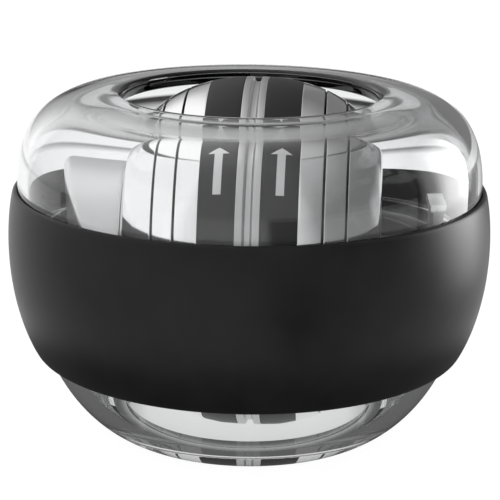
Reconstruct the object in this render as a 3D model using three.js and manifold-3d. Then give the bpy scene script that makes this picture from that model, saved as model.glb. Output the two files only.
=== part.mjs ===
// Gyroscopic wrist ball of the self-starting kind. A clear shell with open crowns wears a grip
// band. Inside it a ring turns in a race and carries a chromed rotor on an axle, and a wound
// spring in a drum beside the rotor starts it. Millimetres, +Z up, the axle along X. All pieces
// are drawn from the middle of the axle, and the ball is then lifted to stand on z = 0.

import * as THREE from 'three';
import { mergeVertices } from 'three/addons/utils/BufferGeometryUtils.js';
import Module from 'manifold-3d';

const wasm = await Module();
wasm.setup();

// Clearances and overruns
const seatGap = 0.05;
const runGap = 0.06;
const looseGap = 0.3;
const cutOverrun = 1.0;

// Clear shell: radii from the upright centre line, heights from the axle
const shellRadius = 33.5;
const shellWall = 2.2;
const shoulderWall = 1.6;
const crownWall = 2.1;
const wallTaper = 3.0;
const widestHeight = 9.0;
const crownFlat = 1.65;
const upperFullness = 2.7;
const lowerShoulder = 19.5;
const lowerReach = 36.0;
const lowerFullness = 2.2;
const openingRadius = 18.5;
const upperLipRoll = 0.65;
const lowerLipRoll = 0.35;
const footThickness = 3.55;
const lapDepth = 1.2;
const lapGap = 0.1;

// Grip band
const bandTop = 10.0;
const bandBottom = 13.8;
const bandTopEdge = 0.55;
const bandBottomEdge = 1.35;
const bandSwell = 0.95;
const bandSwellPower = 0.7;
const bandGap = 0.1;
const bandEdgeRound = 0.25;

// Race in the shell, and the ring that turns in it
const grooveHalfHeight = 1.6;
const raceHeight = 2.3;
const raceWidth = 1.4;
const raceSeatGap = 0.1;
const ringLift = 0.2;
const ringRunGap = 0.3;
const ringWidthShare = 0.1337;
const bossDepth = 3.3;
const bossHalfWidth = 3.5;
const bossHalfHeight = 3.0;

// Axle, bushings and spacers
const tipLift = 0.15;
const tipEndGap = 0.5;
const tipRound = 0.5;
const axleStep = 0.55;
const bushingWall = 0.8;
const flangeWidth = 0.5;
const flangeThickness = 0.6;
const spacerWall = 0.8;
const endPlay = 0.2;

// Rotor
const rotorRunGap = 0.9;
const rotorShift = 0.92;
const rotorWidthShare = 0.6755;
const curveReachShare = 1.335;
const curveFullness = 2.3;
const rotorEdgeRound = 0.8;
const rotorProud = 1.8;
const tableGap = 0.3;
const coreHalfWidth = 1.65;
const cordGrooveWidth = 1.3;
const cordGrooveFloor = 0.75;
const cordGrooveDepth = 0.7;
const stripeWidth = 4.95;
const stripeDepth = 2.7;
const lineGrooveWidth = 0.36;
const lineGrooveDepth = 0.35;
const innerLineShare = 0.2931;
const outerLineShare = 0.569;
const rimWall = 4.0;
const sideWall = 3.2;
const hubRadius = 7.5;
const dishDepth = 2.0;
const dishRim = 2.4;

// Screws through the rotor's hub
const screwCount = 3;
const screwCircle = 5.0;
const screwRadius = 0.9;
const screwHeadRadius = 1.6;
const screwHeadHeight = 1.1;
const screwTipCover = 5.85;

// Starting spring, its drum and its one-way clutch, on the left of the rotor
const drumWall = 1.2;
const drumDepthShare = 0.5;
const drumSideGap = 0.4;
const drumOverRing = 0.25;
const coverThickness = 0.9;
const coverStep = 0.6;
const coverHoleGap = 0.4;
const arborWall = 1.9;
const clutchDiscRadius = 6.2;
const clutchDiscThickness = 1.2;
const clutchDiscDepth = 1.1;
const recessDepth = 4.6;
const recessGap = 0.1;
const ratchetRim = 1.5;
const ratchetTip = 6.7;
const ratchetToothDepth = 1.3;
const ratchetThickness = 2.0;
const ratchetTeeth = 12;
const ratchetTurn = THREE.MathUtils.degToRad(135.8);
const pawlCircle = 4.3;
const pawlLength = 4.2;
const pawlNoseRadius = 0.55;
const pawlEyeRadius = 1.3;
const pawlPinRadius = 0.7;
const pinGap = 0.1;
const pawlThickness = 1.6;
const pawlRestAngle = THREE.MathUtils.degToRad(185.8);
const springStrip = 0.5;
const springTurns = 5;
const springEndGap = 0.35;

// Clip over the right boss
const clipTop = 8.7;
const clipSetIn = 0.95;
const clipBarWidth = 2.4;
const clipBarHeight = 1.1;
const clipStemTop = 1.65;
const clipStemFoot = 0.95;
const clipLeg = 0.8;

// Steps of the round pieces
const shellSteps = 48;
const rotorSteps = 36;
const smallSteps = 20;
const pinSteps = 12;
const arcSteps = 8;
const lipSteps = 3;

// Sizes worked out from the ones above
const quarterTurn = Math.PI / 2;
const fullTurn = Math.PI * 2;
const lowerOuter = {
  centreRadius: shellRadius - lowerShoulder,
  centreHeight: widestHeight,
  reachOut: lowerShoulder,
  reachUp: -lowerReach,
  fullness: lowerFullness,
};
const lowerInner = drawnIn(lowerOuter, shellWall, shellWall);
const wallAtGroove = radiusAt(lowerInner, -grooveHalfHeight);
const raceInnerRadius = wallAtGroove - raceWidth;
const ringHalfHeight = grooveHalfHeight - ringLift;
const ringOuterRadius = wallAtGroove - ringRunGap;
const ringInnerRadius = ringOuterRadius - wallAtGroove * ringWidthShare;
const rotorRadius = ringInnerRadius - rotorRunGap;
const rotorHalfWidth = ringInnerRadius * rotorWidthShare;
const rotorCurveReach = rotorHalfWidth * curveReachShare;
const crownHeight = rotorRadius - rotorProud;
const restDepth = rotorRadius + tableGap;
const shoulderStart = openingRadius + upperLipRoll + crownFlat;
const upperOuter = {
  centreRadius: shoulderStart,
  centreHeight: widestHeight,
  reachOut: shellRadius - shoulderStart,
  reachUp: crownHeight - widestHeight,
  fullness: upperFullness,
};
const upperInner = drawnIn(upperOuter, shoulderWall, crownWall);
const bossOuter = Math.sqrt((raceInnerRadius - looseGap) ** 2 - bossHalfWidth ** 2);
const bossInner = bossOuter - bossDepth;
const tipRadius = grooveHalfHeight - tipLift;
const tipEnd = radiusAt(lowerInner, 0) - tipEndGap;
const axleRadius = tipRadius + axleStep;
const bushingBore = tipRadius + runGap;
const bushingRadius = bushingBore + bushingWall;
const flangeInner = bossInner - seatGap - flangeThickness;
const recessFloor = rotorHalfWidth - recessDepth;
const ratchetStart = recessFloor + recessGap;
const ratchetRoot = ratchetTip + ratchetToothDepth;
const ratchetRadius = ratchetRoot + ratchetRim;
const recessRadius = ratchetRadius + recessGap;
const clutchDiscEnd = rotorHalfWidth - clutchDiscDepth;
const clutchDiscStart = clutchDiscEnd - clutchDiscThickness;
const arborRadius = bushingBore + arborWall;
const drumStart = rotorHalfWidth - rotorShift + drumSideGap;
const drumTrim = ringInnerRadius + drumOverRing;
const coverEnd = drumStart + coverThickness;
const drumInside = drumTrim - drumWall;
const drumFloor = coverEnd + (drumInside - coverEnd) * drumDepthShare;
const cavityRadius = Math.sqrt(drumInside ** 2 - drumFloor ** 2);
const coverSeatRadius = cavityRadius + coverStep;
const drumRadius = coverSeatRadius + drumWall;
const springStart = coverEnd + looseGap;
const springOuter = cavityRadius - springEndGap;
const springEnd = drumFloor - looseGap;
const stripeStart = coreHalfWidth + seatGap;
const stripeEnd = coreHalfWidth + stripeWidth;
const innerLinePlace = THREE.MathUtils.lerp(stripeEnd, rotorHalfWidth, innerLineShare);
const outerLinePlace = THREE.MathUtils.lerp(stripeEnd, rotorHalfWidth, outerLineShare);
const neckRadius = rotorRadius - stripeDepth;
const screwSeat = rotorHalfWidth - dishDepth + seatGap;
const screwHoleEnd = screwTipCover - recessFloor;

// One quarter of a superellipse is the outline of a shoulder of the shell.
function quarterPoint(arc, angle) {
  const power = 2 / arc.fullness;
  const radius = arc.centreRadius + arc.reachOut * Math.cos(angle) ** power;
  const height = arc.centreHeight + arc.reachUp * Math.sin(angle) ** power;
  return new THREE.Vector2(radius, height);
}

function quarterAngle(arc, height) {
  const rise = THREE.MathUtils.clamp((height - arc.centreHeight) / arc.reachUp, 0, 1);
  return Math.asin(rise ** (arc.fullness / 2));
}

function radiusAt(arc, height) {
  return quarterPoint(arc, quarterAngle(arc, height)).x;
}

function drawnIn(arc, sideDepth, endDepth) {
  const reachUp = arc.reachUp - Math.sign(arc.reachUp) * endDepth;
  return { ...arc, reachOut: arc.reachOut - sideDepth, reachUp };
}

// The points of a quarter from one height to another, both ends with it
function quarterStretch(arc, fromHeight, toHeight, steps) {
  const from = quarterAngle(arc, fromHeight);
  const to = quarterAngle(arc, toHeight);
  const points = [];
  for (let step = 0; step <= steps; step += 1) {
    points.push(quarterPoint(arc, THREE.MathUtils.lerp(from, to, step / steps)));
  }
  return points;
}

// A round between two corners, bulging towards the first one's height and the last one's radius
function rollStretch(from, to, steps) {
  const points = [];
  for (let step = 0; step <= steps; step += 1) {
    const angle = (quarterTurn * step) / steps;
    const radius = to.x + (from.x - to.x) * (1 - Math.sin(angle));
    const height = from.y + (to.y - from.y) * (1 - Math.cos(angle));
    points.push(new THREE.Vector2(radius, height));
  }
  return points;
}

function at(radius, height) {
  return new THREE.Vector2(radius, height);
}

// Turned pieces: an outline of radii and places, closed on itself, spun about an axis
function turned(outline, steps) {
  const closed = [...outline, outline[0].clone()];
  return new THREE.LatheGeometry(closed, steps);
}

function upright(geometry) {
  return geometry.rotateX(quarterTurn);
}

// Places run outwards from the middle of the ball, to the right or to the left.
function toRight(geometry) {
  return geometry.rotateZ(-quarterTurn);
}

function toLeft(geometry) {
  return geometry.rotateZ(quarterTurn);
}

function sleeve(innerRadius, outerRadius, start, end, steps) {
  const outline = [
    at(innerRadius, start),
    at(outerRadius, start),
    at(outerRadius, end),
    at(innerRadius, end),
  ];
  return turned(outline, steps);
}

function rod(radius, start, end, steps) {
  const outline = [at(0, start), at(radius, start), at(radius, end), at(0, end)];
  return new THREE.LatheGeometry(outline, steps);
}

// A flat shape drawn in Y and Z, made thick along X
function acrossAxle(shape, start, end) {
  const geometry = new THREE.ExtrudeGeometry(shape, { depth: end - start, bevelEnabled: false });
  geometry.translate(0, 0, start);
  const yAxis = new THREE.Vector3(0, 1, 0);
  const zAxis = new THREE.Vector3(0, 0, 1);
  const xAxis = new THREE.Vector3(1, 0, 0);
  return geometry.applyMatrix4(new THREE.Matrix4().makeBasis(yAxis, zAxis, xAxis));
}

// A flat shape drawn in X and Z, made thick along Y, its middle on the axle
function alongDepth(shape, halfDepth) {
  const geometry = new THREE.ExtrudeGeometry(shape, { depth: halfDepth * 2, bevelEnabled: false });
  geometry.translate(0, 0, -halfDepth);
  return geometry.rotateX(quarterTurn);
}

function block(fromX, toX, halfWidth, halfHeight) {
  const geometry = new THREE.BoxGeometry(toX - fromX, halfWidth * 2, halfHeight * 2);
  return geometry.translate((fromX + toX) / 2, 0, 0);
}

// Solids that are joined and cut
function solidOf(geometry) {
  const bare = geometry.clone();
  bare.deleteAttribute('normal');
  bare.deleteAttribute('uv');
  const welded = mergeVertices(bare);
  const corners = Array.from(welded.index.array);
  const kept = [];
  for (let first = 0; first < corners.length; first += 3) {
    const [a, b, c] = corners.slice(first, first + 3);
    if (a !== b && b !== c && c !== a) kept.push(a, b, c);
  }
  return new wasm.Manifold(new wasm.Mesh({
    numProp: 3,
    vertProperties: new Float32Array(welded.attributes.position.array),
    triVerts: new Uint32Array(kept),
  }));
}

function joined(first, ...others) {
  return others.reduce((whole, piece) => whole.add(solidOf(piece)), solidOf(first));
}

function cut(solid, ...tools) {
  return tools.reduce((rest, tool) => rest.subtract(tool), solid);
}

function geometryOf(solid) {
  const mesh = solid.getMesh();
  const geometry = new THREE.BufferGeometry();
  geometry.setAttribute('position', new THREE.BufferAttribute(new Float32Array(mesh.vertProperties), 3));
  geometry.setIndex(new THREE.BufferAttribute(new Uint32Array(mesh.triVerts), 1));
  geometry.computeVertexNormals();
  return geometry;
}

// Materials, one for each piece
function clearPlastic() {
  const look = { color: 0xe9edf0, roughness: 0.04, metalness: 0, transparent: true, opacity: 0.3 };
  return new THREE.MeshStandardMaterial(look);
}

function blackRubber() {
  return new THREE.MeshStandardMaterial({ color: 0x202020, roughness: 0.5, metalness: 0 });
}

function blackPlastic() {
  return new THREE.MeshStandardMaterial({ color: 0x1c1c1d, roughness: 0.35, metalness: 0 });
}

function chrome() {
  return new THREE.MeshStandardMaterial({ color: 0xd9dadc, roughness: 0.08, metalness: 1 });
}

function stripeBlack() {
  return new THREE.MeshStandardMaterial({ color: 0x323233, roughness: 0.45, metalness: 0 });
}

function silverPlastic() {
  return new THREE.MeshStandardMaterial({ color: 0xdcdddf, roughness: 0.25, metalness: 0.4 });
}

function steel() {
  return new THREE.MeshStandardMaterial({ color: 0xb4b6b9, roughness: 0.25, metalness: 1 });
}

function bronze() {
  return new THREE.MeshStandardMaterial({ color: 0xb08d57, roughness: 0.35, metalness: 1 });
}

function piece(name, geometry, material) {
  const mesh = new THREE.Mesh(geometry, material);
  mesh.name = name;
  return mesh;
}

// Upper shell: outside from the lap up over the shoulder, lip, inside down, thicker under the band, lap
function upperShell() {
  const lapRadius = (radiusAt(lowerOuter, 0) + radiusAt(lowerInner, 0)) / 2;
  const lipTop = at(openingRadius + upperLipRoll, crownHeight);
  const lipSide = at(openingRadius, crownHeight - upperLipRoll);
  const outline = [
    ...quarterStretch(lowerOuter, -lapDepth, widestHeight, lipSteps),
    ...quarterStretch(upperOuter, widestHeight, crownHeight, arcSteps).slice(1),
    ...rollStretch(lipTop, lipSide, lipSteps),
    at(openingRadius, crownHeight - crownWall),
    ...quarterStretch(upperInner, crownHeight - crownWall, widestHeight, arcSteps),
    ...quarterStretch(lowerInner, widestHeight - wallTaper, 0, lipSteps),
    at(lapRadius, 0),
    at(lapRadius, -lapDepth),
  ];
  return piece('upper_shell', upright(turned(outline, shellSteps)), clearPlastic());
}

// Lower shell: outside from the resting land up, lap, inside down, and the thick foot round the opening
function lowerShell() {
  const lapRadius = (radiusAt(lowerOuter, 0) + radiusAt(lowerInner, 0)) / 2 - lapGap;
  const lapFloor = -(lapDepth + lapGap);
  const footTop = footThickness - restDepth;
  const footCorner = at(openingRadius + lowerLipRoll, footTop);
  const land = at(openingRadius + lowerLipRoll, -restDepth);
  const outline = [
    ...quarterStretch(lowerOuter, -restDepth, lapFloor, arcSteps),
    at(lapRadius, lapFloor),
    at(lapRadius, -lapGap),
    ...quarterStretch(lowerInner, -lapGap, footTop, arcSteps),
    ...rollStretch(footCorner, at(openingRadius, footTop - lowerLipRoll), lipSteps),
    ...rollStretch(land, at(openingRadius, lowerLipRoll - restDepth), lipSteps).reverse(),
  ];
  return piece('lower_shell', upright(turned(outline, shellSteps)), clearPlastic());
}

// Races: two rings on the inner wall, with the groove between them
function raceRing(name, low, high) {
  const outline = [
    at(raceInnerRadius, low),
    at(radiusAt(lowerInner, low) - raceSeatGap, low),
    at(radiusAt(lowerInner, high) - raceSeatGap, high),
    at(raceInnerRadius, high),
  ];
  return piece(name, upright(turned(outline, shellSteps)), clearPlastic());
}

// Grip band: its inside is the shell's outside, its outside swells between the two edges
function shellOutsideAt(height) {
  return radiusAt(height > widestHeight ? upperOuter : lowerOuter, height);
}

function bandThicknessAt(height) {
  const share = (height + bandBottom) / (bandTop + bandBottom);
  const swell = bandSwell * (4 * share * (1 - share)) ** bandSwellPower;
  return THREE.MathUtils.lerp(bandBottomEdge, bandTopEdge, share) + swell;
}

function gripBand() {
  const outside = [];
  const inside = [];
  const top = bandTop - bandEdgeRound;
  const bottom = bandEdgeRound - bandBottom;
  for (let step = 0; step <= arcSteps; step += 1) {
    const outerHeight = THREE.MathUtils.lerp(bottom, top, step / arcSteps);
    outside.push(at(shellOutsideAt(outerHeight) + bandThicknessAt(outerHeight), outerHeight));
    const innerHeight = THREE.MathUtils.lerp(bandTop, -bandBottom, step / arcSteps);
    inside.push(at(shellOutsideAt(innerHeight) + bandGap, innerHeight));
  }
  const bottomCorner = at(shellOutsideAt(-bandBottom) + bandBottomEdge, -bandBottom);
  const topCorner = at(shellOutsideAt(bandTop) + bandTopEdge - bandEdgeRound, bandTop);
  const outline = [bottomCorner, ...outside, topCorner, ...inside];
  return piece('grip_band', upright(turned(outline, shellSteps)), blackRubber());
}

// Ring with a boss at each end of the axle
function carrierRing() {
  const ring = upright(sleeve(ringInnerRadius, ringOuterRadius, -ringHalfHeight, ringHalfHeight, shellSteps));
  const rightBoss = block(bossInner, bossOuter, bossHalfWidth, bossHalfHeight);
  const leftBoss = block(-bossOuter, -bossInner, bossHalfWidth, bossHalfHeight);
  const bore = toRight(rod(bushingRadius + seatGap, -shellRadius, shellRadius, smallSteps));
  const ringSolid = cut(joined(ring, rightBoss, leftBoss), solidOf(bore));
  return piece('carrier_ring', geometryOf(ringSolid), blackPlastic());
}

function bushing(name, turnOut) {
  const outline = [
    at(bushingBore, flangeInner),
    at(bushingRadius + flangeWidth, flangeInner),
    at(bushingRadius + flangeWidth, bossInner - seatGap),
    at(bushingRadius, bossInner - seatGap),
    at(bushingRadius, bossOuter),
    at(bushingBore, bossOuter),
  ];
  return piece(name, turnOut(turned(outline, smallSteps)), bronze());
}

// Clip over the right boss: a T seen from the front, an arch seen from the side
function axleClip() {
  const inside = bossHalfWidth + looseGap;
  const outside = inside + clipLeg;
  const underside = bossHalfHeight + looseGap;
  const barFoot = clipTop - clipBarHeight;
  const foot = ringHalfHeight + looseGap;
  const raceTop = grooveHalfHeight + raceHeight;
  const stemShare = (raceTop - foot) / (barFoot - foot);
  const stemAtRace = THREE.MathUtils.lerp(clipStemFoot, clipStemTop, stemShare);
  const stemLimit = Math.sqrt((raceInnerRadius - looseGap) ** 2 - outside ** 2) - clipSetIn;
  const middle = stemLimit - stemAtRace / 2;
  const front = new THREE.Shape([
    at(middle - clipStemFoot / 2, foot),
    at(middle + clipStemFoot / 2, foot),
    at(middle + clipStemTop / 2, barFoot),
    at(middle + clipBarWidth / 2, barFoot),
    at(middle + clipBarWidth / 2, clipTop),
    at(middle - clipBarWidth / 2, clipTop),
    at(middle - clipBarWidth / 2, barFoot),
    at(middle - clipStemTop / 2, barFoot),
  ]);
  const side = new THREE.Shape([
    at(-outside, 0),
    at(-inside, 0),
    at(-inside, underside),
    at(inside, underside),
    at(inside, 0),
    at(outside, 0),
    at(outside, barFoot),
    at(inside, clipTop + cutOverrun),
    at(-inside, clipTop + cutOverrun),
    at(-outside, barFoot),
  ]);
  const tee = solidOf(alongDepth(front, outside + cutOverrun));
  const arch = solidOf(acrossAxle(side, bossInner, shellRadius));
  return piece('axle_clip', geometryOf(tee.intersect(arch)), silverPlastic());
}

// Axle: thick through the rotor, thin at its tips, which roll in the race
function axle() {
  const thickStart = rotorShift + endPlay - clutchDiscStart;
  const thickEnd = rotorShift + rotorHalfWidth - endPlay;
  const outline = [
    at(0, -tipEnd),
    at(tipRadius - tipRound, -tipEnd),
    at(tipRadius, tipRound - tipEnd),
    at(tipRadius, thickStart),
    at(axleRadius, thickStart),
    at(axleRadius, thickEnd),
    at(tipRadius, thickEnd),
    at(tipRadius, tipEnd - tipRound),
    at(tipRadius - tipRound, tipEnd),
    at(0, tipEnd),
  ];
  return piece('axle', toRight(new THREE.LatheGeometry(outline, smallSteps)), steel());
}

function spacer(name, start, end, turnOut) {
  const geometry = turnOut(sleeve(bushingBore, bushingBore + spacerWall, start, end, smallSteps));
  return piece(name, geometry, blackPlastic());
}

// Rotor: its barrel outline, out from its own middle plane
function barrelRadius(place) {
  return rotorRadius * Math.sqrt(1 - (place / rotorCurveReach) ** curveFullness);
}

function onBarrel(place, depth = 0) {
  return at(barrelRadius(place) - depth, place);
}

function lineGroove(place) {
  const half = lineGrooveWidth / 2;
  return [onBarrel(place - half), onBarrel(place, lineGrooveDepth), onBarrel(place + half)];
}

function screwTools() {
  const tools = [];
  for (let index = 0; index < screwCount; index += 1) {
    const angle = (fullTurn * index) / screwCount;
    const hole = toRight(rod(screwRadius + looseGap, screwHoleEnd, shellRadius, pinSteps));
    hole.translate(0, screwCircle * Math.sin(angle), screwCircle * Math.cos(angle));
    tools.push(solidOf(hole));
  }
  return tools;
}

// Middle disc of the rotor, with the groove for a starting cord
function rotorCore() {
  const rim = rotorRadius;
  const floor = rotorRadius - cordGrooveDepth;
  const outline = [
    at(axleRadius + seatGap, -coreHalfWidth),
    at(rim, -coreHalfWidth),
    at(rim, -cordGrooveWidth / 2),
    at(floor, -cordGrooveFloor / 2),
    at(floor, cordGrooveFloor / 2),
    at(rim, cordGrooveWidth / 2),
    at(rim, coreHalfWidth),
    at(axleRadius + seatGap, coreHalfWidth),
  ];
  const disc = solidOf(toRight(turned(outline, rotorSteps)));
  return piece('rotor_core', geometryOf(cut(disc, ...screwTools())), chrome());
}

// Half of the rotor: a cup with a hub, open towards the core
function rotorHalf(name, turnOut, side) {
  const bore = axleRadius + seatGap;
  const cavityEnd = recessFloor - sideWall;
  const edge = rotorHalfWidth - rotorEdgeRound;
  const flank = (share) => onBarrel(THREE.MathUtils.lerp(outerLinePlace, edge, share));
  const outline = [
    at(bore, stripeStart),
    at(hubRadius, stripeStart),
    at(hubRadius, cavityEnd),
    at(barrelRadius(cavityEnd) - rimWall, cavityEnd),
    at(neckRadius - rimWall, stripeStart),
    at(neckRadius, stripeStart),
    at(neckRadius, stripeEnd),
    onBarrel(stripeEnd),
    onBarrel((stripeEnd + innerLinePlace) / 2),
    ...lineGroove(innerLinePlace),
    ...lineGroove(outerLinePlace),
    flank(1 / 3),
    flank(2 / 3),
    onBarrel(edge),
    at(barrelRadius(edge) - rotorEdgeRound, rotorHalfWidth),
    ...side,
  ];
  const cup = solidOf(turnOut(turned(outline, rotorSteps)));
  return piece(name, geometryOf(cut(cup, ...screwTools())), chrome());
}

// The right side is dished round a hub that takes the screws' heads.
function rightSide() {
  const rim = barrelRadius(rotorHalfWidth) - rotorEdgeRound - dishRim;
  const floor = rotorHalfWidth - dishDepth;
  return [at(rim, rotorHalfWidth), at(rim, floor), at(axleRadius + seatGap, floor)];
}

// The left side has the recess for the clutch.
function leftSide() {
  const bore = axleRadius + seatGap;
  return [at(recessRadius, rotorHalfWidth), at(recessRadius, recessFloor), at(bore, recessFloor)];
}

function stripeBand(name, turnOut) {
  const end = stripeEnd - seatGap;
  const outline = [
    at(neckRadius + seatGap, stripeStart),
    onBarrel(stripeStart),
    onBarrel((stripeStart + end) / 2),
    onBarrel(end),
    at(neckRadius + seatGap, end),
  ];
  return piece(name, turnOut(turned(outline, rotorSteps)), stripeBlack());
}

function rotorScrew(index) {
  const outline = [
    at(0, screwHoleEnd + looseGap),
    at(screwRadius, screwHoleEnd + looseGap),
    at(screwRadius, screwSeat),
    at(screwHeadRadius, screwSeat),
    at(screwHeadRadius, screwSeat + screwHeadHeight),
    at(0, screwSeat + screwHeadHeight),
  ];
  const angle = (fullTurn * index) / screwCount;
  const geometry = toRight(new THREE.LatheGeometry(outline, pinSteps));
  const screw = piece(`rotor_screw_${index + 1}`, geometry, steel());
  screw.position.set(0, screwCircle * Math.sin(angle), screwCircle * Math.cos(angle));
  return screw;
}

// Ratchet ring with inner teeth: each one ramps out to its root and ends in a step
function ratchetRing() {
  const shape = new THREE.Shape().absarc(0, 0, ratchetRadius, 0, fullTurn, false);
  const hole = new THREE.Path();
  const pitch = fullTurn / ratchetTeeth;
  const points = [];
  for (let tooth = 0; tooth < ratchetTeeth; tooth += 1) {
    const start = ratchetTurn + pitch * tooth;
    const middle = start + pitch / 2;
    const midRadius = (ratchetTip + ratchetRoot) / 2;
    const end = start + pitch;
    points.push(at(ratchetTip * Math.cos(start), ratchetTip * Math.sin(start)));
    points.push(at(midRadius * Math.cos(middle), midRadius * Math.sin(middle)));
    points.push(at(ratchetRoot * Math.cos(end), ratchetRoot * Math.sin(end)));
  }
  hole.setFromPoints(points);
  shape.holes.push(hole);
  const geometry = acrossAxle(shape, -(ratchetStart + ratchetThickness), -ratchetStart);
  return piece('ratchet_ring', geometry, steel());
}

// Spring arbor: a disc that carries the pawl, and a sleeve that the spring winds on
function springArbor() {
  const outline = [
    at(bushingBore, clutchDiscStart),
    at(clutchDiscRadius, clutchDiscStart),
    at(clutchDiscRadius, clutchDiscEnd),
    at(arborRadius, clutchDiscEnd),
    at(arborRadius, drumFloor + rotorShift),
    at(bushingBore, drumFloor + rotorShift),
  ];
  const arbor = solidOf(toLeft(turned(outline, smallSteps)));
  const pinHole = toLeft(rod(pawlPinRadius + seatGap, 0, shellRadius, pinSteps)).translate(0, 0, pawlCircle);
  return piece('spring_arbor', geometryOf(cut(arbor, solidOf(pinHole))), silverPlastic());
}

function pawlPin() {
  const pin = toLeft(rod(pawlPinRadius, ratchetStart + recessGap, clutchDiscEnd, pinSteps));
  return piece('pawl_pin', pin.translate(0, 0, pawlCircle), steel());
}

// Pawl: an eye on the pin and an arm to its nose, at rest clear of the teeth
function pawl() {
  const eye = new THREE.Shape().absarc(0, 0, pawlEyeRadius, 0, fullTurn, false);
  const noseY = pawlLength * Math.cos(pawlRestAngle);
  const noseZ = pawlLength * Math.sin(pawlRestAngle);
  const nose = new THREE.Shape().absarc(noseY, noseZ, pawlNoseRadius, 0, fullTurn, false);
  const sideY = -Math.sin(pawlRestAngle) * pawlNoseRadius;
  const sideZ = Math.cos(pawlRestAngle) * pawlNoseRadius;
  const arm = new THREE.Shape([
    at(sideY, sideZ),
    at(noseY + sideY, noseZ + sideZ),
    at(noseY - sideY, noseZ - sideZ),
    at(-sideY, -sideZ),
  ]);
  const end = -(ratchetStart + recessGap);
  const start = end - pawlThickness;
  const body = joined(acrossAxle(eye, start, end), acrossAxle(nose, start, end), acrossAxle(arm, start, end));
  const hole = toLeft(rod(pawlPinRadius + pinGap, 0, shellRadius, pinSteps));
  const geometry = geometryOf(cut(body, solidOf(hole)));
  return piece('pawl', geometry.translate(0, 0, pawlCircle), steel());
}

// The drum is trimmed upright over the ring, and wherever the shell's wall is nearer than that.
function drumTrimSolid(inset) {
  const outline = [at(0, -shellRadius)];
  for (let step = 0; step <= arcSteps; step += 1) {
    const height = THREE.MathUtils.lerp(-drumRadius, drumRadius, step / arcSteps);
    const wall = radiusAt(height > widestHeight ? upperInner : lowerInner, height);
    const radius = Math.min(drumTrim, wall - looseGap) - inset;
    if (step === 0) outline.push(at(radius, -shellRadius));
    outline.push(at(radius, height));
    if (step === arcSteps) outline.push(at(radius, shellRadius));
  }
  outline.push(at(0, shellRadius));
  return solidOf(upright(new THREE.LatheGeometry(outline, shellSteps)));
}

// Drum: a barrel across the axle
function springHousing() {
  const outer = solidOf(toLeft(rod(drumRadius, drumStart, shellRadius, rotorSteps)));
  const cavity = solidOf(toLeft(rod(cavityRadius, 0, shellRadius, rotorSteps)));
  const coverSeat = solidOf(toLeft(rod(coverSeatRadius, 0, coverEnd + seatGap, rotorSteps)));
  const slotLow = -(ringHalfHeight + looseGap);
  const slot = upright(sleeve(ringInnerRadius - looseGap, shellRadius, slotLow, -slotLow, shellSteps));
  const windowHalfWidth = bossHalfWidth + looseGap;
  const windowHalfHeight = bossHalfHeight + looseGap;
  const windowStart = Math.min(flangeInner, drumInside) - looseGap;
  const window = block(-shellRadius, -windowStart, windowHalfWidth, windowHalfHeight);
  const body = outer.intersect(drumTrimSolid(0));
  const hollow = cavity.intersect(drumTrimSolid(drumWall));
  const housing = cut(body, hollow, coverSeat, solidOf(slot), solidOf(window));
  return piece('spring_housing', geometryOf(housing), silverPlastic());
}

function housingCover() {
  const hole = arborRadius + coverHoleGap;
  const geometry = toLeft(sleeve(hole, coverSeatRadius - seatGap, drumStart, coverEnd, rotorSteps));
  return piece('housing_cover', geometry, silverPlastic());
}

// Starting spring: a flat strip wound from the arbor out to the drum
function mainspring() {
  const stepsPerTurn = 16;
  const steps = springTurns * stepsPerTurn;
  const start = arborRadius + springEndGap;
  const outer = [];
  const inner = [];
  for (let step = 0; step <= steps; step += 1) {
    const angle = (fullTurn * step) / stepsPerTurn;
    const radius = THREE.MathUtils.lerp(start, springOuter - springStrip, step / steps);
    inner.push(at(radius * Math.cos(angle), radius * Math.sin(angle)));
    outer.push(at((radius + springStrip) * Math.cos(angle), (radius + springStrip) * Math.sin(angle)));
  }
  const strip = new THREE.Shape([...outer, ...inner.reverse()]);
  return piece('mainspring', acrossAxle(strip, -springEnd, -springStart), steel());
}

// The ball, lifted to stand on its lower crown
const ball = new THREE.Group();
ball.position.z = restDepth;

const shellCase = new THREE.Group();
shellCase.add(upperShell(), lowerShell(), gripBand());
shellCase.add(raceRing('upper_race', grooveHalfHeight, grooveHalfHeight + raceHeight));
shellCase.add(raceRing('lower_race', -(grooveHalfHeight + raceHeight), -grooveHalfHeight));

const carrier = new THREE.Group();
carrier.add(carrierRing(), axleClip());
carrier.add(bushing('right_bushing', toRight), bushing('left_bushing', toLeft));
carrier.add(springHousing(), housingCover(), mainspring());

// The wheel sits to the right of the middle, to leave room for the drum.
const wheel = new THREE.Group();
wheel.position.x = rotorShift;
wheel.add(rotorCore(), ratchetRing());
wheel.add(rotorHalf('rotor_right_half', toRight, rightSide()));
wheel.add(rotorHalf('rotor_left_half', toLeft, leftSide()));
wheel.add(stripeBand('right_stripe_band', toRight), stripeBand('left_stripe_band', toLeft));
for (let index = 0; index < screwCount; index += 1) {
  wheel.add(rotorScrew(index));
}

const rotor = new THREE.Group();
rotor.add(wheel, axle());
rotor.add(spacer('right_spacer', rotorHalfWidth + rotorShift, flangeInner - endPlay, toRight));
rotor.add(spacer('left_spacer', drumFloor + endPlay, flangeInner - endPlay, toLeft));

const clutch = new THREE.Group();
clutch.position.x = rotorShift;
clutch.add(springArbor(), pawlPin(), pawl());

ball.add(shellCase, carrier, rotor, clutch);

export default ball;
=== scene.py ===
import math
from collections import namedtuple

import bmesh
import bpy
from mathutils import Matrix, Vector


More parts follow.
